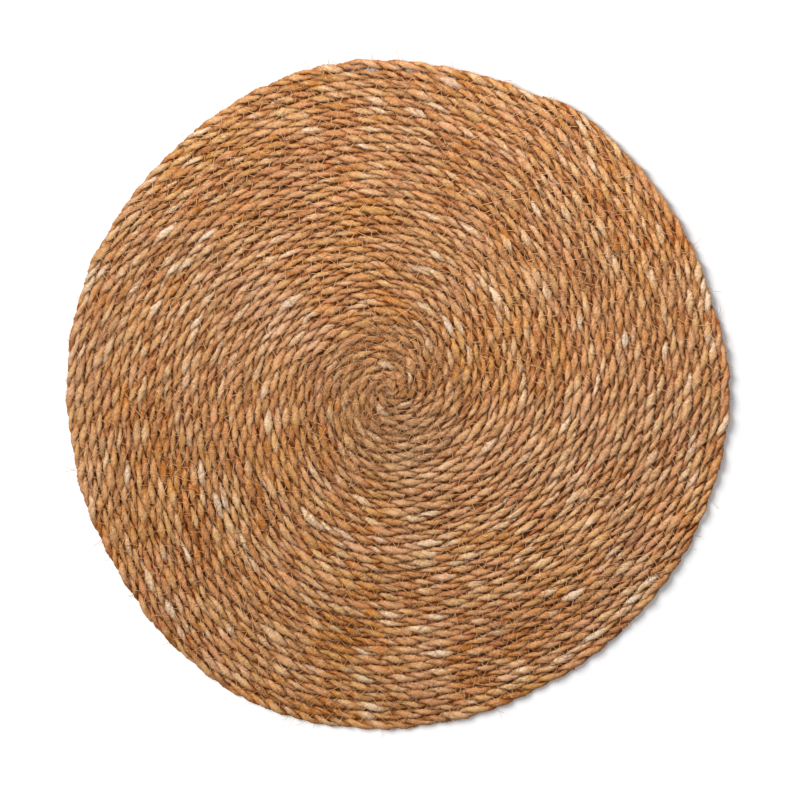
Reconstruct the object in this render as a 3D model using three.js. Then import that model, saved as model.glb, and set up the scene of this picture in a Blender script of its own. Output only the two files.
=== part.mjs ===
import * as THREE from 'three';

// A round placemat: one two-ply jute cord, coiled flat from the middle out and sewn turn to turn.
// Lengths are in millimetres and directions in degrees, counter-clockwise from +X as seen from above.
// +Z is up, the underside lies on z = 0, and the origin is under the middle of the mat's outline.

const cordPitch = 5.15; // from one turn of cord to the next
const turnCount = 36.76; // turns from the eye of the coil to the cord's outer end
const firstTurn = 0.5; // where the cord starts, in turns from the eye
const eyeDirection = 147; // the direction in which the coil leaves its eye
const matThickness = 5.5;
const crownWidth = 2.1; // the flat top of each turn
const grooveDepth = 1.6; // from a turn's crown down to the seam beside it
const grooveRunIn = 0.25; // turns over which the first seam reaches its full depth

const rimSwell = 0.7; // how far the free side of the last turn bulges past the pitch
const rimFace = 2.3; // the upright band in the middle of the rim
const rimUndercut = 1.6; // how far the rim draws in below that band
const endTaper = 0.035; // turns over which the cord's outer end gets thinner
const endWidth = 0.5; // the width left at the cord's outer end, as a share of the pitch

const chordError = 0.3; // between a curved turn and its straight steps
const eyeOffset = 0.7; // from the eye of the coil to the lowest point of the dimple in it

// How far the rim stands outside a true spiral. Each turn inside it has its share of this.
const rimUnevenness = [
  { direction: 0, out: 3 },
  { direction: 20, out: 0 },
  { direction: 45, out: -0.5 },
  { direction: 58, out: 2 },
  { direction: 78, out: 0 },
  { direction: 100, out: 1.5 },
  { direction: 140, out: -4 },
  { direction: 165, out: -4 },
  { direction: 187, out: -5 },
  { direction: 205, out: -4 },
  { direction: 250, out: 5 },
  { direction: 300, out: 0 },
];

const fullTurn = 360;
const crownShare = crownWidth / cordPitch / 2;
const seamHeight = matThickness - grooveDepth;

// The rim's unevenness in any direction, eased between the rows of the table.
function unevennessAt(direction) {
  const wrapped = THREE.MathUtils.euclideanModulo(direction, fullTurn);
  const next = rimUnevenness.findIndex((row) => row.direction > wrapped);
  const after = next < 0 ? { direction: fullTurn, out: rimUnevenness[0].out } : rimUnevenness[next];
  const before = next < 0 ? rimUnevenness.at(-1) : rimUnevenness[next - 1];
  const eased = THREE.MathUtils.smoothstep(wrapped, before.direction, after.direction);
  return THREE.MathUtils.lerp(before.out, after.out, eased);
}

// How much of its full width the cord has: all of it, but for its tapered outer end.
function widthAt(turn) {
  const tapered = THREE.MathUtils.clamp((turn - turnCount + endTaper) / endTaper, 0, 1);
  return THREE.MathUtils.lerp(1, endWidth, tapered);
}

// The distance from the eye at a place along the cord. across runs from -0.5 on the cord's
// inner side to 0.5 on its outer side.
function radiusAt(turn, across) {
  const turnsOut = turn - 0.5 + (across + 0.5) * widthAt(turn);
  return turnsOut * (cordPitch + unevennessAt(eyeDirection + fullTurn * turn) / turnCount);
}

function pointAt(turn, radius, height) {
  const direction = THREE.MathUtils.degToRad(eyeDirection + fullTurn * turn);
  return [radius * Math.cos(direction), radius * Math.sin(direction), height];
}

// Places along the cord, closer together where its turns are small. The start, the end and the
// places one turn from each are among them, so that the turns meet there point to point.
function stepsAlongCord() {
  const stops = [firstTurn, firstTurn + 1, turnCount - 1, turnCount];
  const steps = [];
  for (let leg = 0; leg < stops.length - 1; leg += 1) {
    let turn = stops[leg];
    while (turn < stops[leg + 1]) {
      steps.push(turn);
      const step = Math.sqrt((8 * chordError) / radiusAt(turn, 0)) / (2 * Math.PI);
      turn = stops[leg + 1] - turn < 1.5 * step ? stops[leg + 1] : turn + step;
    }
  }
  steps.push(turnCount);
  return { steps, oneTurnIn: steps.indexOf(stops[1]), rimStart: steps.indexOf(stops[2]) };
}

function coiledMatGeometry() {
  const points = [];
  const faces = [];
  const addPoint = (point) => points.push(point) - 1;
  const addQuad = (a, b, c, d) => faces.push([a, b, c], [a, c, d]);

  const { steps, oneTurnIn, rimStart } = stepsAlongCord();
  const last = steps.length - 1;

  // Three lines run along the cord's top: both edges of its crown, and the seam outside it.
  const innerCrown = steps.map((turn) => addPoint(pointAt(turn, radiusAt(turn, -crownShare), matThickness)));
  const outerCrown = steps.map((turn) => addPoint(pointAt(turn, radiusAt(turn, crownShare), matThickness)));
  const seam = steps.map((turn, index) => {
    const depth = grooveDepth * Math.min(1, (turn - firstTurn) / grooveRunIn);
    const swell = index > rimStart ? rimSwell : 0;
    return addPoint(pointAt(turn, radiusAt(turn, 0.5) + swell, matThickness - depth));
  });

  for (let index = 0; index < last; index += 1) {
    addQuad(innerCrown[index], outerCrown[index], outerCrown[index + 1], innerCrown[index + 1]);
    addQuad(outerCrown[index], seam[index], seam[index + 1], outerCrown[index + 1]);
  }

  // The slope from each seam up to the next turn's crown, where the steps of two turns differ.
  let low = 0;
  let high = oneTurnIn;
  while (low < rimStart || high < last) {
    const nextLow = low < rimStart ? steps[low + 1] + 1 : Infinity;
    const nextHigh = high < last ? steps[high + 1] : Infinity;
    if (nextLow < nextHigh) {
      faces.push([seam[low], innerCrown[high], seam[low + 1]]);
      low += 1;
    } else {
      faces.push([seam[low], innerCrown[high], innerCrown[high + 1]]);
      high += 1;
    }
  }

  // A shallow dimple closes the eye of the coil.
  const dimpleTurn = firstTurn - 0.25;
  const dimple = addPoint(pointAt(dimpleTurn, eyeOffset, matThickness - grooveDepth / 2));
  const eyeEdge = [...innerCrown.slice(0, oneTurnIn + 1), seam[0], outerCrown[0], innerCrown[0]];
  for (let index = 0; index < eyeEdge.length - 1; index += 1) {
    faces.push([dimple, eyeEdge[index], eyeEdge[index + 1]]);
  }

  // The free side of the last turn: an upright band, drawn in below it to the flat underside.
  const rimTurns = steps.slice(rimStart);
  const rimTop = seam.slice(rimStart);
  const rimSide = rimTurns.map((turn, index) => {
    const swell = index > 0 ? rimSwell : 0;
    return addPoint(pointAt(turn, radiusAt(turn, 0.5) + swell, seamHeight - rimFace));
  });
  const rimFoot = rimTurns.map((turn) => addPoint(pointAt(turn, radiusAt(turn, 0.5) - rimUndercut, 0)));
  const footMiddle = addPoint(pointAt(dimpleTurn, eyeOffset, 0));
  for (let index = 0; index < rimTurns.length - 1; index += 1) {
    addQuad(rimSide[index], rimSide[index + 1], rimTop[index + 1], rimTop[index]);
    addQuad(rimFoot[index], rimFoot[index + 1], rimSide[index + 1], rimSide[index]);
    faces.push([footMiddle, rimFoot[index + 1], rimFoot[index]]);
  }
  faces.push([footMiddle, rimFoot[0], rimFoot.at(-1)]);

  // The cut end of the cord, which stands a little outside the turn before it.
  const cutTop = [rimTop[0], innerCrown[last], outerCrown[last], rimTop.at(-1)];
  const cutEnd = [...cutTop, rimSide.at(-1), rimFoot.at(-1), rimFoot[0]];
  for (let index = 0; index < cutEnd.length - 1; index += 1) {
    faces.push([rimSide[0], cutEnd[index], cutEnd[index + 1]]);
  }

  const geometry = new THREE.BufferGeometry();
  geometry.setAttribute('position', new THREE.Float32BufferAttribute(points.flat(), 3));
  geometry.setIndex(faces.flat());
  geometry.computeBoundingBox();
  const middle = geometry.boundingBox.getCenter(new THREE.Vector3());
  geometry.translate(-middle.x, -middle.y, 0);
  geometry.computeVertexNormals();
  return geometry;
}

const jute = new THREE.MeshStandardMaterial({ color: '#b98552', roughness: 0.95, metalness: 0 });

const coiledMat = new THREE.Mesh(coiledMatGeometry(), jute);
coiledMat.name = 'coiled_mat';

const placemat = new THREE.Group();
placemat.add(coiledMat);

export default placemat;
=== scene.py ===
import bpy
import math
import numpy as np
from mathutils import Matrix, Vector
from mathutils.bvhtree import BVHTree


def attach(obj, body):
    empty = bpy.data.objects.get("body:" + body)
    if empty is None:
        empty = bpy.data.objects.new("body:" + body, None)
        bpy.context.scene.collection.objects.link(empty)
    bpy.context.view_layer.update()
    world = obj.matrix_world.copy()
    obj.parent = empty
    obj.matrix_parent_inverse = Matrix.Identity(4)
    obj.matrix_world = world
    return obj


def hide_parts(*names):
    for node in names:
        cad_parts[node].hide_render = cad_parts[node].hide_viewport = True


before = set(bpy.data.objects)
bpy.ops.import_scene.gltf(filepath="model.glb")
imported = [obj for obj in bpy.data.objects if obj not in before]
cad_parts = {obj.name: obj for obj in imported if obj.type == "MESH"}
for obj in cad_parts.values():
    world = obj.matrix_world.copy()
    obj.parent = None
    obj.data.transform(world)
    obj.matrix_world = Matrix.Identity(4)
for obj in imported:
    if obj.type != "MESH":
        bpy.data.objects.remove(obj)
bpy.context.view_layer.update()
print("frame loaded:", sorted(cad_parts))

# A round jute placemat: one two-ply cord, coiled from the middle out and sewn turn to turn.
# Metres, +Z up. Directions are in degrees, counter-clockwise from +X as seen from above.
# A row of noise is a seed, the spacing of its values along the cord, and its weight.


# The coil that every piece follows

coil = {
    "pitch": 0.00515,            # from one turn of cord to the next
    "turns": 36.76,              # from the eye of the coil to the cord's outer end
    "firstTurn": 0.16,           # where the cord starts, in turns from the eye
    "eye": (-0.00517, 0.00249),
    "eyeDirection": 147,         # the direction in which the coil leaves its eye
    "eyeTurns": 4.5,             # turns over which it gets less tightly twisted and less lumpy
    "middleHeight": 0.0027,
    "endTaper": 0.035,           # turns over which the outer end gets thinner
    "endWidth": 0.5,             # the width left at that end, as a share of the pitch
    # direction, then how far the rim stands outside a true spiral
    "rimUnevenness": [
        (0, 0.003), (20, 0.0), (45, -0.0005), (58, 0.002), (78, 0.0), (100, 0.0015),
        (140, -0.004), (165, -0.004), (187, -0.005), (205, -0.004), (250, 0.005), (300, 0.0),
    ],
    # turn, turns it lasts and width of the open slots inside the last turn
    "slots": [(35.808, 0.011, 0.0007), (35.830, 0.012, 0.0008), (35.854, 0.014, 0.0010)],
    "sideNoise": [(11, 0.016, 0.00028)],
    "heightNoise": [(12, 0.020, 0.00018)],
    "fineSteps": 40000,          # for measuring along the cord
    "leastRadius": 0.0005,
    "castFrom": 0.02,            # how far off the table a ray starts that looks for the surface
}

table = {
    "lowest": 0.0001,            # what would go through the table stays this far above it
    "softness": 0.0003,
}

strandSides = 3


def eased(share):
    return share * share * (3 - 2 * share)


def unevennessAt(direction):
    rows = coil["rimUnevenness"] + [(360, coil["rimUnevenness"][0][1])]
    places = np.array([row[0] for row in rows], float)
    outs = np.array([row[1] for row in rows])
    wrapped = np.mod(direction, 360)
    after = np.clip(np.searchsorted(places, wrapped, side="right"), 1, len(rows) - 1)
    share = (wrapped - places[after - 1]) / (places[after] - places[after - 1])
    return outs[after - 1] + (outs[after] - outs[after - 1]) * eased(share)


def pitchAt(turn):
    return coil["pitch"] + unevennessAt(coil["eyeDirection"] + 360 * turn) / coil["turns"]


def widthAt(turn):
    tapered = np.clip((turn - coil["turns"] + coil["endTaper"]) / coil["endTaper"], 0, 1)
    return 1 + (coil["endWidth"] - 1) * tapered


def radiusAt(turn, across):
    # across runs from -0.5 on the cord's inner side to 0.5 on its outer side
    return (turn - 0.5 + (across + 0.5) * widthAt(turn)) * pitchAt(turn)


def slotAt(turn):
    out = np.zeros_like(turn)
    for place, length, width in coil["slots"]:
        near = np.clip(np.abs(turn - place) / length, 0, 1)
        out += width * (0.5 + 0.5 * np.cos(math.pi * near))
    return out


def nearEye(turn):
    return np.exp(-turn / coil["eyeTurns"])


def outwardAt(turn):
    direction = np.radians(coil["eyeDirection"] + 360 * turn)
    return np.stack([np.cos(direction), np.sin(direction), np.zeros_like(direction)], -1)


def pointAt(turn, radius, height):
    eyeX, eyeY = coil["eye"]
    point = outwardAt(turn) * radius[:, None]
    return point + np.stack([np.full_like(turn, eyeX), np.full_like(turn, eyeY), height], -1)


def slowNoise(seed, along, spacing):
    # smooth random values from -1 to 1, one for each spacing along the cord
    random = np.random.default_rng(seed)
    place = along / spacing
    index = np.floor(place).astype(int)
    values = random.uniform(-1, 1, index.max() + 2)
    share = eased(place - index)
    return values[index] * (1 - share) + values[index + 1] * share


def noiseAt(rows, along, which=0):
    # which is 0 or 1, for rows that differ from ply to ply
    return sum(weight * slowNoise(seed + which, along, spacing) for seed, spacing, weight in rows)


def turnsEvery(step, first, last, eyeStep=1.0):
    # turns spaced by an even length of cord, closer at the eye, and the length of cord up to each
    fine = np.linspace(first, last, coil["fineSteps"])
    radius = np.maximum(radiusAt(fine, np.zeros_like(fine)), coil["leastRadius"])
    lengths = np.diff(fine) * 2 * math.pi * (radius[1:] + radius[:-1]) / 2
    closer = 1 + (eyeStep - 1) * nearEye(fine[1:])
    length = np.concatenate([[0], np.cumsum(lengths)])
    places = np.concatenate([[0], np.cumsum(lengths / closer)])
    marks = np.linspace(0, places[-1], int(places[-1] / step) + 1)
    return np.interp(marks, places, fine), np.interp(marks, places, length)


def unit(vectors):
    return vectors / np.maximum(np.linalg.norm(vectors, axis=-1, keepdims=True), 1e-9)


def upLike(vectors):
    return np.broadcast_to([0.0, 0.0, 1.0], vectors.shape)


def pressed(height):
    # eases what would go through the table to just above it
    soft = table["softness"]
    top = table["lowest"] + soft
    return np.where(height < top, table["lowest"] + soft * np.exp((height - top) / soft), height)


# Meshes

def makeMesh(name, points, faces):
    mesh = bpy.data.meshes.new(name)
    mesh.from_pydata(points.tolist(), [], faces)
    mesh.update()
    piece = bpy.data.objects.new(name, mesh)
    bpy.context.scene.collection.objects.link(piece)
    mesh.shade_smooth()
    return piece


def giveValues(piece, name, values):
    isVector = values.ndim == 2
    layer = piece.data.attributes.new(name, "FLOAT_VECTOR" if isVector else "FLOAT", "POINT")
    layer.data.foreach_set("vector" if isVector else "value", values.astype(np.float32).ravel())


def perPoint(values, sides, ends):
    # one value for each point of a tube, from one for each ring and one for each end
    return np.concatenate([np.repeat(values, sides), ends])


def tubeFaces(tubes, rings, sides):
    # the faces of many closed tubes of one size, with a middle point at both ends of each
    tube = np.arange(tubes)[:, None, None] * (rings * sides + 2)
    ring = np.arange(rings - 1)[None, :, None] * sides
    side = np.arange(sides)[None, None, :]
    nextSide = (side + 1) % sides
    walls = np.stack([tube + ring + side, tube + ring + nextSide,
                      tube + ring + sides + nextSide, tube + ring + sides + side], -1)
    start = tube[:, 0] + rings * sides
    endRing = tube[:, 0] + (rings - 1) * sides
    startCaps = np.stack([start + 0 * side[0], tube[:, 0] + nextSide[0], tube[:, 0] + side[0]], -1)
    endCaps = np.stack([start + 1 + 0 * side[0], endRing + side[0], endRing + nextSide[0]], -1)
    caps = startCaps.reshape(-1, 3).tolist() + endCaps.reshape(-1, 3).tolist()
    return walls.reshape(-1, 4).tolist() + caps


def tubePoints(path, first, second, firstSize, secondSize, sides):
    # path is (tubes, rings, 3); first and second are the two directions across it
    angle = 2 * math.pi * np.arange(sides) / sides
    firstShare = np.cos(angle)[None, None, :, None] * firstSize[:, :, None, None]
    secondShare = np.sin(angle)[None, None, :, None] * secondSize[:, :, None, None]
    ring = first[:, :, None, :] * firstShare + second[:, :, None, :] * secondShare
    points = (path[:, :, None, :] + ring).reshape(path.shape[0], -1, 3)
    return np.concatenate([points, path[:, :1], path[:, -1:]], 1).reshape(-1, 3)


def strands(path, radius):
    # round strands of one radius each along many paths
    along = unit(np.gradient(path, axis=1))
    sideways = unit(np.cross(along, np.array([0.0, 0.0, 1.0])) + 1e-6)
    upwards = unit(np.cross(sideways, along))
    size = np.broadcast_to(radius[:, None], path.shape[:2])
    points = tubePoints(path, sideways, upwards, size, size, strandSides)
    return points, tubeFaces(path.shape[0], path.shape[1], strandSides)


# The two plies of the cord

ply = {
    "lay": 0.0224,               # one full twist of the two plies round each other
    "eyeLay": 0.5,               # share of that lay at the eye, where the cord is twisted tighter
    # turns of twist by which the lay runs fast or slow
    "twistNoise": [(13, 0.070, 0.26), (14, 0.400, 0.26), (15, 0.011, 0.10)],
    "sideRadius": 0.00138,       # from the cord's middle to a ply's middle, sideways and upwards
    "heightRadius": 0.00142,
    # how far a bead sits off its place
    "sideNoise": [(16, 0.0105, 0.00034)],
    "heightNoise": [(18, 0.0115, 0.000272)],
    "topSize": (0.00204, 0.00126),    # half a ply's width and height where it lies on top
    "sideSize": (0.00156, 0.00136),   # and where it lies beside the other ply
    "topSharpness": 2.6,         # how short the stretch is that has the size on top
    "spreadBelow": 0.14,         # how much wider a ply lies where it is pressed on the table
    "spreadSharpness": 1.5,
    # thickness that one ply gains as the other loses it, and each ply's own
    "tradedThickness": [(21, 0.016, 0.28)],
    "ownThickness": [(22, 0.0095, 0.24)],
    "rimLooseness": 0.05,        # how much further apart the plies lie in the last turn
    "looseningTurns": 0.1,
    "endLength": 0.0016,         # over which a ply gets thinner at both ends
    "endSize": 0.35,
    "taperSoftness": 0.6,        # under 1, a ply gets thinner more slowly than the cord does
    "lumps": 0.07,
    "lumpSeed": 41,
    "eyeLumps": 2.2,             # how much lumpier it is at the eye
    "largestLump": 0.4,
    "step": 0.00192,
    "eyeStep": 0.5,              # share of that step at the eye
    "sides": 8,
    "toneNoise": [(31, 0.018, 0.55), (33, 0.0085, 0.45), (43, 0.042, 0.30)],
    "sharedToneNoise": [(39, 0.090, 0.22)],
    "hueNoise": [(35, 0.030, 0.6), (37, 0.012, 0.4)],
    "darkRing": (6.5, 3.5, 0.34),       # turn, turns to each side, and how much darker
    "paintedShadeHeights": (0.0005, 0.0023),   # heights off the middle between which the painted seam shade fades out
    "fibreTwist": 85.0,          # how fast the fibres wind round their ply, radians per metre
    "fibreRadius": 0.0014,
    "fibreOffset": 31.0,         # keeps the streaks of the two plies apart
}


def makePly(name, which):
    turn, along = turnsEvery(ply["step"], coil["firstTurn"], coil["turns"], ply["eyeStep"])
    outward = outwardAt(turn)
    upward = upLike(outward)
    sides = ply["sides"]

    lay = ply["lay"] * (1 + (ply["eyeLay"] - 1) * nearEye(turn))
    twists = np.cumsum(np.gradient(along) / lay) + noiseAt(ply["twistNoise"], along)
    twist = -2 * math.pi * twists + math.pi * which
    out = np.cos(twist)
    up = np.sin(twist)

    ends = np.clip(np.minimum(along, along[-1] - along) / ply["endLength"], 0, 1) ** 0.5
    slimmer = widthAt(turn) ** ply["taperSoftness"] * (ply["endSize"] + (1 - ply["endSize"]) * ends)
    lastTurn = np.clip((turn - coil["turns"] + 1) / ply["looseningTurns"], 0, 1)
    looser = 1 + ply["rimLooseness"] * lastTurn
    side = noiseAt(coil["sideNoise"], along) + slotAt(turn)
    height = coil["middleHeight"] + noiseAt(coil["heightNoise"], along)
    offSide = out * ply["sideRadius"] * looser * slimmer + noiseAt(ply["sideNoise"], along, which)
    offHeight = up * ply["heightRadius"] * slimmer + noiseAt(ply["heightNoise"], along, which)
    path = pointAt(turn, radiusAt(turn, np.zeros_like(turn)) + side, height)
    path = path + outward * offSide[:, None] + upward * offHeight[:, None]

    onward = unit(np.gradient(path, axis=0))
    away = outward * out[:, None] + upward * up[:, None]
    away = unit(away - onward * (away * onward).sum(-1, keepdims=True))
    across = unit(np.cross(onward, away))
    traded = noiseAt(ply["tradedThickness"], along) * (1 if which else -1)
    grow = np.exp(traded + noiseAt(ply["ownThickness"], along, which)) * slimmer
    spread = 1 + ply["spreadBelow"] * np.clip(-up, 0, 1) ** ply["spreadSharpness"]
    upright = np.abs(up) ** ply["topSharpness"]
    topWidth, topHeight = ply["topSize"]
    sideWidth, sideHeight = ply["sideSize"]
    thick = grow * (sideWidth + (topHeight - sideWidth) * upright)
    broad = grow * spread * (sideHeight + (topWidth - sideHeight) * upright)
    points = tubePoints(path[None], away[None], across[None], thick[None], broad[None], sides)

    random = np.random.default_rng(ply["lumpSeed"] + which)
    lumps = random.normal(0, ply["lumps"], (len(turn), sides))
    lumps = lumps * (1 + ply["eyeLumps"] * nearEye(turn))[:, None]
    lumps = np.clip(lumps, -ply["largestLump"], ply["largestLump"])
    middles = np.repeat(path, sides, 0)
    points[:-2] = middles + (points[:-2] - middles) * (1 + lumps.ravel()[:, None])
    points[:, 2] = pressed(points[:, 2])
    piece = makeMesh(name, points, tubeFaces(1, len(turn), sides))

    darkTurn, darkTurns, darkening = ply["darkRing"]
    tone = noiseAt(ply["toneNoise"], along, which) + noiseAt(ply["sharedToneNoise"], along)
    tone = tone - darkening * np.exp(-((turn - darkTurn) / darkTurns) ** 2)
    hue = noiseAt(ply["hueNoise"], along, which)
    giveValues(piece, "tone", perPoint(tone, sides, tone[[0, -1]]))
    giveValues(piece, "hue", perPoint(hue, sides, hue[[0, -1]]))
    # painted shade: points low on the cord, in its seams and grooves, get a low value here, and the
    # cord's material darkens them
    low, high = ply["paintedShadeHeights"]
    offMiddle = np.abs(points[:, 2] - coil["middleHeight"])
    giveValues(piece, "clearOfPaintedShade", np.clip((offMiddle - low) / (high - low), 0, 1))
    angle = 2 * math.pi * np.arange(sides) / sides
    wound = (angle[None, :] + ply["fibreTwist"] * along[:, None]).ravel()
    fibre = np.stack([np.repeat(along, sides) + which * ply["fibreOffset"],
                      ply["fibreRadius"] * np.cos(wound), ply["fibreRadius"] * np.sin(wound)], -1)
    giveValues(piece, "fibre", np.concatenate([fibre, fibre[:1], fibre[-1:]]))
    return piece


# Short matted fibres that fill the bottom of each seam, and a tuft of them at the eye, coloured
# darker than the cord: partly matted fibre, partly painted shade

seamFill = {
    "firstTurn": 0.02,
    "lastTurn": 35.765,
    "step": 0.0026,
    "sides": 4,
    "height": 0.00145,
    "heightNoise": [(71, 0.006, 0.00080)],
    "halfWidth": 0.0015,
    "widthNoise": [(72, 0.008, 0.25)],    # as a share of that width
    "halfThickness": 0.00045,
    "eyeWidening": (1.2, 0.0016),         # the turn where it ends, and how much at most
    "slotClosing": (0.0003, 0.95),        # the slot's width at which this share of it is gone
    "toneNoise": [(73, 0.007, 1.0)],
}

eyeTuft = {
    "radius": 0.0046,
    "middleHeight": 0.0017,
    "halfThickness": 0.0012,
    "detail": 4,
    "lumps": (0.9, 1.1),
    "lumpSeed": 75,
    "toneSeed": 76,
}


def makeSeamFill(name):
    sides = seamFill["sides"]
    turn, along = turnsEvery(seamFill["step"], seamFill["firstTurn"], seamFill["lastTurn"])
    height = seamFill["height"] + noiseAt(seamFill["heightNoise"], along)
    path = pointAt(turn, (turn + 0.5) * pitchAt(turn), height)
    outward = outwardAt(turn)
    downward = -upLike(outward)
    wideTurns, wider = seamFill["eyeWidening"]
    slotWidth, closing = seamFill["slotClosing"]
    closed = 1 - closing * np.clip(slotAt(turn + 1) / slotWidth, 0, 1)
    wide = seamFill["halfWidth"] * (1 + noiseAt(seamFill["widthNoise"], along))
    wide = (wide + wider * np.clip(wideTurns - turn, 0, 1)) * closed
    thick = seamFill["halfThickness"] * closed
    points = tubePoints(path[None], outward[None], downward[None], wide[None], thick[None], sides)
    piece = makeMesh(name, points, tubeFaces(1, len(turn), sides))
    giveValues(piece, "tone", perPoint(noiseAt(seamFill["toneNoise"], along), sides, [0, 0]))
    return piece


def makeEyeTuft(name):
    bpy.ops.object.select_all(action="DESELECT")
    detail = eyeTuft["detail"]
    bpy.ops.mesh.primitive_ico_sphere_add(subdivisions=detail, radius=1.0, location=(0, 0, 0))
    piece = bpy.context.active_object
    piece.name = name
    count = len(piece.data.vertices)
    eyeX, eyeY = coil["eye"]
    lumps = np.random.default_rng(eyeTuft["lumpSeed"]).uniform(*eyeTuft["lumps"], count)
    for vertex, lump in zip(piece.data.vertices, lumps):
        x, y, z = vertex.co * lump
        height = eyeTuft["middleHeight"] + z * eyeTuft["halfThickness"]
        vertex.co = (eyeX + x * eyeTuft["radius"], eyeY + y * eyeTuft["radius"], height)
    piece.data.shade_smooth()
    giveValues(piece, "tone", np.random.default_rng(eyeTuft["toneSeed"]).uniform(-1, 1, count))
    return piece


# The zigzag thread over and under each seam

thread = {
    "stitch": 0.0088,            # along the seam from one stitch to the next
    "stitchWander": 0.18,        # as a share of a stitch
    "start": 0.2,                # turns from the cord's start to the first stitch
    "lean": 0.44,                # share of a stitch that its visible leg takes
    "leanWander": (-0.7, 0.6),
    "reach": 0.50,               # from the seam to the hole, as a share of the pitch
    "reachWander": (-0.35, 0.175),
    "buried": 0.0009,            # the deepest that a visible leg lies in the jute
    "returnDepth": 0.0011,       # and that its other leg does
    "buriedNoise": [(54, 0.03, 0.5)],
    "buriedWander": (0.3, 1.2),
    "radius": 0.00023,
    "bedding": 0.6,              # its middle's height over the jute, as a share of its radius
    "sink": 0.0004,              # how deep it goes at each hole
    "tightening": 30,            # rounds in which it is pulled straight between its holes
    "slack": 0.00002,
    "give": 0.2,
    "topSteps": 5,
    "underSteps": 3,
    "topSeed": 51,
    "underSeed": 52,
    "toneNoise": [(53, 0.02, 1.0)],
}


def surfaceHeights(tree, xy, fromAbove):
    outside = 1.0 if fromAbove else -1.0
    aim = Vector((0, 0, -outside))
    heights = np.empty(len(xy))
    for index, (x, y) in enumerate(xy):
        hit = tree.ray_cast(Vector((x, y, outside * coil["castFrom"])), aim)[0]
        heights[index] = hit.z if hit else coil["middleHeight"]
    return heights


def makeThread(name, tree, steps, seed, fromAbove):
    random = np.random.default_rng(seed)
    firstTurn = coil["firstTurn"] + thread["start"]
    stitches, _ = turnsEvery(thread["stitch"], firstTurn, coil["turns"] - 1)
    count = len(stitches)
    gap = np.gradient(stitches)
    stitches = stitches + random.uniform(-1, 1, count) * thread["stitchWander"] * gap
    lean = thread["lean"] * (1 + random.uniform(*thread["leanWander"], count))
    turn = np.stack([stitches, stitches + lean * gap], 1).ravel()
    side = np.where(np.arange(len(turn)) % 2 == 0, 1.0, -1.0)
    across = 0.5 + side * thread["reach"] * (1 + random.uniform(*thread["reachWander"], len(turn)))
    holes = pointAt(turn, (turn + across) * pitchAt(turn), np.zeros_like(turn))
    share = np.linspace(0, 1, steps + 1)[:-1]
    legs = holes[:-1, None] + (holes[1:] - holes[:-1])[:, None] * share[None, :, None]
    path = np.concatenate([legs.reshape(-1, 3), holes[-1:]])

    outside = 1.0 if fromAbove else -1.0
    height = surfaceHeights(tree, path[:, :2], fromAbove) * outside
    height = height + thread["bedding"] * thread["radius"]
    atHole = np.zeros(len(path), bool)
    atHole[::steps] = True
    returning = (np.arange(len(path)) // steps) % 2 == 1
    covered = 0.5 + noiseAt(thread["buriedNoise"], np.arange(len(holes)) * thread["stitch"] / 2)
    covered = covered * random.uniform(*thread["buriedWander"], len(holes))
    covered = np.repeat(covered, steps)[:len(path)]
    buried = covered * thread["buried"]
    legDepth = np.where(returning, covered * thread["returnDepth"], buried)
    height = height - np.where(atHole, thread["sink"], legDepth)
    tight = height.copy()
    for _ in range(thread["tightening"]):
        between = 0.5 * (np.roll(tight, 1) + np.roll(tight, -1)) - thread["slack"]
        tight = np.where(atHole, height, np.maximum(height, between - thread["give"] * buried))
    path[:, 2] = np.maximum(tight * outside, thread["radius"])

    points, faces = strands(path[None], np.array([thread["radius"]]))
    piece = makeMesh(name, points, faces)
    length = np.concatenate([[0], np.cumsum(np.linalg.norm(np.diff(path, axis=0), axis=1))])
    giveValues(piece, "tone", perPoint(noiseAt(thread["toneNoise"], length), strandSides, [0, 0]))
    return piece


# Loose fibres that stand off the cord

fibres = {
    "radius": (0.00007, 0.00015),
    "steps": 4,
    "lowest": 0.0003,
    "lift": 0.0007,              # the most that the middle of a lying fibre is raised
    "leastLift": 0.05,
    "chordShare": 0.999,         # of the height of a straight line from one end to the other
    "surface": {
        "seed": 61,
        "count": 5200,
        "turns": (coil["firstTurn"], coil["turns"] - 1),
        "crowding": 0.5,         # 0.5 is even over the mat, and more is closer to the eye
        "length": (0.003, 0.012),
        "curl": 0.9,
    },
    # a matted tangle round the eye
    "middle": {
        "seed": 63,
        "count": 1700,
        "turns": (0.0, 8.5),
        "crowding": 0.6,
        "length": (0.0025, 0.007),
        "curl": 1.3,
    },
    "rim": {
        "seed": 62,
        "count": 110,
        "across": 0.38,
        "upDown": 0.0018,
        "rise": 0.0010,
        "length": (0.0012, 0.009),
        "fanning": 0.75,
        "curl": 0.9,
    },
}


def arcs(start, heading, bend, length):
    # flat curved paths, each from its start
    steps = fibres["steps"]
    share = np.linspace(0, 1, steps + 1)
    angle = (heading[:, None] + bend[:, None] * share[None, :])[:, :-1]
    step = (length / steps)[:, None]
    none = np.zeros((len(start), 1))
    x = start[:, :1] + np.concatenate([none, np.cumsum(np.cos(angle) * step, 1)], 1)
    y = start[:, 1:2] + np.concatenate([none, np.cumsum(np.sin(angle) * step, 1)], 1)
    return x, y, share


def makeFibres(name, path, random):
    count = len(path)
    points, faces = strands(path, random.uniform(*fibres["radius"], count))
    piece = makeMesh(name, points, faces)
    pointsEach = path.shape[1] * strandSides + 2
    giveValues(piece, "tone", np.repeat(random.uniform(-1, 1, count), pointsEach))
    return piece


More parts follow.
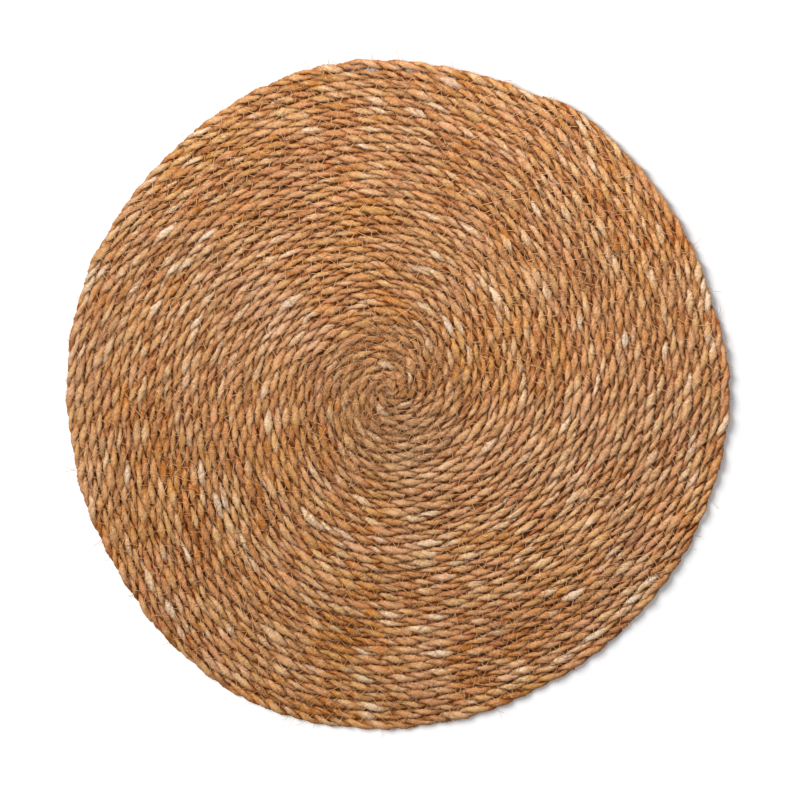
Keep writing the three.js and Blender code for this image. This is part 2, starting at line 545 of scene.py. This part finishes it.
def makeLyingFibres(name, tree, kind):
    random = np.random.default_rng(kind["seed"])
    count = kind["count"]
    first, last = kind["turns"]
    turn = first + (last - first) * random.uniform(0, 1, count) ** kind["crowding"]
    start = pointAt(turn, radiusAt(turn, random.uniform(-0.5, 0.5, count)), np.zeros(count))
    length = random.uniform(*kind["length"], count)
    alongCord = np.radians(coil["eyeDirection"] + 360 * turn + 90)
    heading = alongCord + random.normal(0, kind["curl"], count)
    x, y, share = arcs(start, heading, random.normal(0, kind["curl"], count), length)
    ground = surfaceHeights(tree, np.stack([x.ravel(), y.ravel()], 1), True).reshape(x.shape)
    chord = (ground[:, :1] + (ground[:, -1:] - ground[:, :1]) * share) * fibres["chordShare"]
    lift = random.uniform(fibres["leastLift"], 1, count)[:, None] * fibres["lift"]
    z = np.maximum(ground, chord) + lift * np.sin(math.pi * share)[None]
    path = np.stack([x, y, np.maximum(z, fibres["lowest"])], -1)
    return makeFibres(name, path, random)


def makeRimFibres(name):
    rim = fibres["rim"]
    random = np.random.default_rng(rim["seed"])
    count = rim["count"]
    turn = random.uniform(coil["turns"] - 1, coil["turns"], count)
    height = coil["middleHeight"] + random.uniform(-rim["upDown"], rim["upDown"], count)
    start = pointAt(turn, radiusAt(turn, np.full(count, rim["across"])), height)
    shortest, longest = rim["length"]
    length = shortest + random.uniform(0, 1, count) ** 2 * (longest - shortest)
    outward = np.radians(coil["eyeDirection"] + 360 * turn)
    heading = outward + random.normal(0, rim["fanning"], count)
    x, y, share = arcs(start, heading, random.normal(0, rim["curl"], count), length)
    rise = random.normal(0, rim["rise"], count)[:, None] * share[None] ** 2
    z = np.maximum(start[:, 2:3] + rise, fibres["lowest"])
    return makeFibres(name, np.stack([x, y, z], -1), random)


# Materials

juteLook = {
    "shades": [
        (0.0, (0.16, 0.043, 0.006)),
        (0.25, (0.29, 0.096, 0.018)),
        (0.50, (0.41, 0.168, 0.047)),
        (0.70, (0.465, 0.248, 0.106)),
        (0.86, (0.54, 0.385, 0.245)),
        (1.0, (0.60, 0.510, 0.405)),
    ],
    "toneFrom": (0.06, 1.0),     # the part of those shades that the cord's tone covers
    "plainDetail": 1.0,          # of the noise that has no detail of its own here
    "streakScale": (240, 1050, 1050),
    "streakDetail": 2.5,
    "streaks": 0.18,
    "speckScale": 900,
    "speckDetail": 2.0,
    "specks": 0.12,
    "pinkShade": (0.53, 0.245, 0.140),
    "pinkFrom": (0.05, 0.8),     # the hues between which it comes in
    "strawShade": (0.50, 0.315, 0.120),
    "strawFrom": (0.0, -0.8),
    "mostHue": 0.5,              # the most that either of them takes over
    "palePatch": (0.56, 0.38, 0.24),
    "paleFrom": (0.5, 0.75),     # values of its noise between which such a patch comes in
    "darkPatch": (0.56, 0.36, 0.18),
    "darkFrom": (0.5, 0.25),
    "patches": [(13, 0.28), (55, 0.24)],    # scale and strength
    "fadingScale": 10,
    "fadingDetail": 6.0,
    "fadingRoughness": 0.8,
    "fadingSaturation": (1.15, 0.88),
    "fadingValue": (1.04, 0.95),
    "paleHair": (0.56, 0.37, 0.21),
    "paleHairs": [(15, 0.03), (75, 0.11), (130, 0.23)],   # direction and offset
    "darkHair": (0.20, 0.075, 0.022),
    "darkHairs": [(50, 0.37), (165, 0.51)],
    "hairOffsetY": 0.7,          # as a share of the offset in X
    "hairSize": (0.0060, 0.00052, 0.004),
    "hairFrom": (0.60, 0.72),
    "hairStrength": 0.4,
    "hairWaviness": 0.35,
    # painted shade for the seams and grooves: its tint, its strength, and a noise that leaves some
    # stretches lighter
    "paintedShadeTint": (0.45, 0.235, 0.085),
    "seamShade": 0.95,
    "paintedShadeNoiseScale": 240,
    "paintedShadeNoiseFrom": (0.38, 0.62),
    "leastPaintedShade": 0.1,
    "bump": 0.7,
    "bumpHeight": 0.0005,
    "roughness": 0.72,
    "specular": 0.06,
}

# darkest and lightest shade, then roughness
strandLooks = {
    # darker than the cord, so that the seam fill and eye tuft stand partly as painted shade
    "matted_fibre_and_painted_shade": ((0.14, 0.042, 0.008), (0.31, 0.115, 0.030), 0.8),
    "sewing_thread": ((0.38, 0.17, 0.06), (0.58, 0.34, 0.16), 0.7),
    "loose_fibre": ((0.24, 0.09, 0.026), (0.62, 0.36, 0.17), 0.7),
}

noiseRange = (0.3, 0.7)    # where most of a noise texture's values lie


def newMaterial(name):
    material = bpy.data.materials.new(name)
    material.use_nodes = True
    nodes = material.node_tree.nodes
    return material, nodes, material.node_tree.links, nodes["Principled BSDF"]


def attributeNode(nodes, name):
    node = nodes.new("ShaderNodeAttribute")
    node.attribute_name = name
    return node


def rampNode(nodes, stops):
    node = nodes.new("ShaderNodeValToRGB")
    ramp = node.color_ramp
    while len(ramp.elements) > 1:
        ramp.elements.remove(ramp.elements[-1])
    ramp.elements[0].position = stops[0][0]
    ramp.elements[0].color = (*stops[0][1], 1)
    for place, colour in stops[1:]:
        ramp.elements.new(place).color = (*colour, 1)
    return node


def noiseNode(nodes, links, place, scale, detail):
    node = nodes.new("ShaderNodeTexNoise")
    node.inputs["Scale"].default_value = scale
    node.inputs["Detail"].default_value = detail
    links.new(place, node.inputs["Vector"])
    return node


def mapNode(nodes, links, source, fromRange, toRange):
    node = nodes.new("ShaderNodeMapRange")
    sockets = ("From Min", "From Max", "To Min", "To Max")
    for socket, value in zip(sockets, (*fromRange, *toRange)):
        node.inputs[socket].default_value = value
    links.new(source, node.inputs["Value"])
    return node.outputs["Result"]


def mathNode(nodes, links, operation, first, second):
    node = nodes.new("ShaderNodeMath")
    node.operation = operation
    links.new(first, node.inputs[0])
    links.new(second, node.inputs[1])
    return node.outputs[0]


def mixNode(nodes, links, kind, factor, first, second):
    node = nodes.new("ShaderNodeMix")
    node.data_type = "RGBA"
    node.blend_type = kind
    for socket, value in (("Factor", factor), ("A", first), ("B", second)):
        if isinstance(value, tuple):
            node.inputs[socket].default_value = (*value, 1)
        else:
            links.new(value, node.inputs[socket])
    return node.outputs["Result"]


def hairLines(nodes, links, place, direction, offset):
    # thin broken lines in one direction, as fibres that lie on the cord
    laid = nodes.new("ShaderNodeMapping")
    laid.vector_type = "TEXTURE"
    laid.inputs["Rotation"].default_value = (0, 0, math.radians(direction))
    laid.inputs["Location"].default_value = (offset, offset * juteLook["hairOffsetY"], 0)
    laid.inputs["Scale"].default_value = juteLook["hairSize"]
    links.new(place, laid.inputs["Vector"])
    noise = noiseNode(nodes, links, laid.outputs["Vector"], 1.0, 0.0)
    noise.inputs["Distortion"].default_value = juteLook["hairWaviness"]
    strength = (0.0, juteLook["hairStrength"])
    return mapNode(nodes, links, noise.outputs["Fac"], juteLook["hairFrom"], strength)


def juteMaterial():
    material, nodes, links, shader = newMaterial("jute_cord")
    look = juteLook
    place = nodes.new("ShaderNodeTexCoord").outputs["Object"]

    def mapped(source, fromRange, toRange):
        return mapNode(nodes, links, source, fromRange, toRange)

    def mixed(kind, factor, first, second):
        return mixNode(nodes, links, kind, factor, first, second)

    def noise(scale, detail=look["plainDetail"]):
        return noiseNode(nodes, links, place, scale, detail)

    tone = mapped(attributeNode(nodes, "tone").outputs["Fac"], (-1.0, 1.0), look["toneFrom"])
    stretch = nodes.new("ShaderNodeMapping")
    stretch.inputs["Scale"].default_value = look["streakScale"]
    links.new(attributeNode(nodes, "fibre").outputs["Vector"], stretch.inputs["Vector"])
    streaks = noiseNode(nodes, links, stretch.outputs["Vector"], 1.0, look["streakDetail"])
    streak = mapped(streaks.outputs["Fac"], noiseRange, (-look["streaks"], look["streaks"]))
    specks = noise(look["speckScale"], look["speckDetail"])
    speck = mapped(specks.outputs["Fac"], noiseRange, (-look["specks"], look["specks"]))
    shade = mathNode(nodes, links, "ADD", mathNode(nodes, links, "ADD", tone, streak), speck)
    ramp = rampNode(nodes, look["shades"])
    links.new(shade, ramp.inputs["Fac"])
    colour = ramp.outputs["Color"]

    hue = attributeNode(nodes, "hue").outputs["Fac"]
    pink = mapped(hue, look["pinkFrom"], (0.0, look["mostHue"]))
    straw = mapped(hue, look["strawFrom"], (0.0, look["mostHue"]))
    colour = mixed("MIX", pink, colour, look["pinkShade"])
    colour = mixed("MIX", straw, colour, look["strawShade"])
    for scale, strength in look["patches"]:
        patches = noise(scale).outputs["Fac"]
        pale = mapped(patches, look["paleFrom"], (0.0, strength))
        dark = mapped(patches, look["darkFrom"], (0.0, strength))
        colour = mixed("MIX", pale, colour, look["palePatch"])
        colour = mixed("MULTIPLY", dark, colour, look["darkPatch"])

    fading = noise(look["fadingScale"], look["fadingDetail"])
    fading.inputs["Roughness"].default_value = look["fadingRoughness"]
    faded = nodes.new("ShaderNodeHueSaturation")
    saturation = mapped(fading.outputs["Fac"], noiseRange, look["fadingSaturation"])
    value = mapped(fading.outputs["Fac"], noiseRange, look["fadingValue"])
    links.new(saturation, faded.inputs["Saturation"])
    links.new(value, faded.inputs["Value"])
    links.new(colour, faded.inputs["Color"])
    colour = faded.outputs["Color"]
    for kind in ("pale", "dark"):
        for direction, offset in look[kind + "Hairs"]:
            hairs = hairLines(nodes, links, place, direction, offset)
            colour = mixed("MIX", hairs, colour, look[kind + "Hair"])

    # painted shade: low on the cord, in the seams and grooves where shade falls, the colour is
    # multiplied towards the shade tint
    clearOfPaintedShade = attributeNode(nodes, "clearOfPaintedShade").outputs["Fac"]
    shaded = mapped(clearOfPaintedShade, (0.0, 1.0), (look["seamShade"], 0.0))
    paintedShadeNoise = noise(look["paintedShadeNoiseScale"])
    paintedShadeMask = mapped(paintedShadeNoise.outputs["Fac"], look["paintedShadeNoiseFrom"], (look["leastPaintedShade"], 1.0))
    darkened = mathNode(nodes, links, "MULTIPLY", shaded, paintedShadeMask)
    colour = mixed("MULTIPLY", darkened, colour, look["paintedShadeTint"])
    links.new(colour, shader.inputs["Base Color"])

    bump = nodes.new("ShaderNodeBump")
    bump.inputs["Strength"].default_value = look["bump"]
    bump.inputs["Distance"].default_value = look["bumpHeight"]
    links.new(streaks.outputs["Fac"], bump.inputs["Height"])
    links.new(bump.outputs["Normal"], shader.inputs["Normal"])
    shader.inputs["Roughness"].default_value = look["roughness"]
    shader.inputs["Specular IOR Level"].default_value = look["specular"]
    return material


def strandMaterial(name):
    dark, light, roughness = strandLooks[name]
    material, nodes, links, shader = newMaterial(name)
    tone = mapNode(nodes, links, attributeNode(nodes, "tone").outputs["Fac"], (-1, 1), (0, 1))
    links.new(mixNode(nodes, links, "MIX", tone, dark, light), shader.inputs["Base Color"])
    shader.inputs["Roughness"].default_value = roughness
    return material


def finishPieces(pieces, material):
    for piece in pieces:
        piece.data.materials.append(material)
    print("made:", {piece.name: len(piece.data.polygons) for piece in pieces})


# Build

plies = [makePly("ply_one", 0), makePly("ply_two", 1)]
finishPieces(plies, juteMaterial())

points = []
faces = []
for piece in plies:
    offset = len(points)
    points += [vertex.co.copy() for vertex in piece.data.vertices]
    faces += [[corner + offset for corner in face.vertices] for face in piece.data.polygons]
cordTree = BVHTree.FromPolygons(points, faces)
print("surface tree ready")

# the seam fill and eye tuft are matted fibre coloured dark, partly as painted shade in the seams
mattedAndShade = [makeSeamFill("seam_fill"), makeEyeTuft("seam_fill_eye")]
finishPieces(mattedAndShade, strandMaterial("matted_fibre_and_painted_shade"))

threads = [
    makeThread("thread_top", cordTree, thread["topSteps"], thread["topSeed"], True),
    makeThread("thread_under", cordTree, thread["underSteps"], thread["underSeed"], False),
]
finishPieces(threads, strandMaterial("sewing_thread"))

looseFibres = [
    makeLyingFibres("surface_fibres", cordTree, fibres["surface"]),
    makeLyingFibres("middle_fibres", cordTree, fibres["middle"]),
    makeRimFibres("rim_fibres"),
]
finishPieces(looseFibres, strandMaterial("loose_fibre"))

mat = [*plies, *mattedAndShade, *threads, *looseFibres]
for piece in mat:
    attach(piece, "root")
for piece in plies:
    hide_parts("coiled_mat")
total = sum(sum(len(face.vertices) - 2 for face in piece.data.polygons) for piece in mat)
print("triangles in all:", total)


# Floor, light and camera

studio = {
    "floorSize": 8.0,
    "floorColour": (0.98, 0.98, 0.98),
    "floorRoughness": 0.9,
    "floorSpecular": 0.1,
    "skyStrength": 0.48,
    "lampPlace": (-1.75, 0.72, 1.95),
    "lampSize": 1.7,
    "lampPower": 76,
    "fillPlace": (0.17, 0.50, 0.48),
    "fillSize": 0.4,
    "fillPower": 4.6,
}

view = {
    "metresPerPixel": 0.0005706,
    "framePixels": 800,
    "matMiddlePixel": (398, 395),
    "distance": 3.6,
    "sensor": 36.0,
    "farthest": 20,
}


def addFloor():
    bpy.ops.object.select_all(action="DESELECT")
    bpy.ops.mesh.primitive_plane_add(size=studio["floorSize"], location=(0, 0, 0))
    floor = bpy.context.active_object
    floor.name = "floor"
    material, _, _, shader = newMaterial("floor_white")
    shader.inputs["Base Color"].default_value = (*studio["floorColour"], 1)
    shader.inputs["Roughness"].default_value = studio["floorRoughness"]
    shader.inputs["Specular IOR Level"].default_value = studio["floorSpecular"]
    floor.data.materials.append(material)
    return floor


def addLamp(name, place, size, power):
    bpy.ops.object.light_add(type="AREA", location=place)
    lamp = bpy.context.active_object
    lamp.name = name
    lamp.data.shape = "DISK"
    lamp.data.size = size
    lamp.data.energy = power
    lamp.rotation_euler = Vector(place).to_track_quat("Z", "Y").to_euler()
    return lamp


def addCamera():
    half = view["framePixels"] / 2
    middleX, middleY = view["matMiddlePixel"]
    x = (half - middleX) * view["metresPerPixel"]
    y = (middleY - half) * view["metresPerPixel"]
    bpy.ops.object.camera_add(location=(x, y, view["distance"]), rotation=(0, 0, 0))
    camera = bpy.context.active_object
    camera.data.sensor_width = view["sensor"]
    frameWidth = view["framePixels"] * view["metresPerPixel"]
    camera.data.lens = view["sensor"] * view["distance"] / frameWidth
    camera.data.clip_end = view["farthest"]
    bpy.context.scene.camera = camera


floor = addFloor()
addLamp("key_lamp", studio["lampPlace"], studio["lampSize"], studio["lampPower"])
fill = addLamp("fill_lamp", studio["fillPlace"], studio["fillSize"], studio["fillPower"])
# the fill lamp leaves the floor out, so that only the key lamp casts a shadow there
notFilled = bpy.data.collections.new("not_filled")
notFilled.objects.link(floor)
notFilled.collection_objects[0].light_linking.link_state = "EXCLUDE"
fill.light_linking.receiver_collection = notFilled
world = bpy.data.worlds.new("studio")
bpy.context.scene.world = world
world.use_nodes = True
sky = world.node_tree.nodes["Background"]
sky.inputs["Color"].default_value = (1, 1, 1, 1)
sky.inputs["Strength"].default_value = studio["skyStrength"]
bpy.context.scene.view_settings.view_transform = "Standard"
addCamera()
print("studio ready")
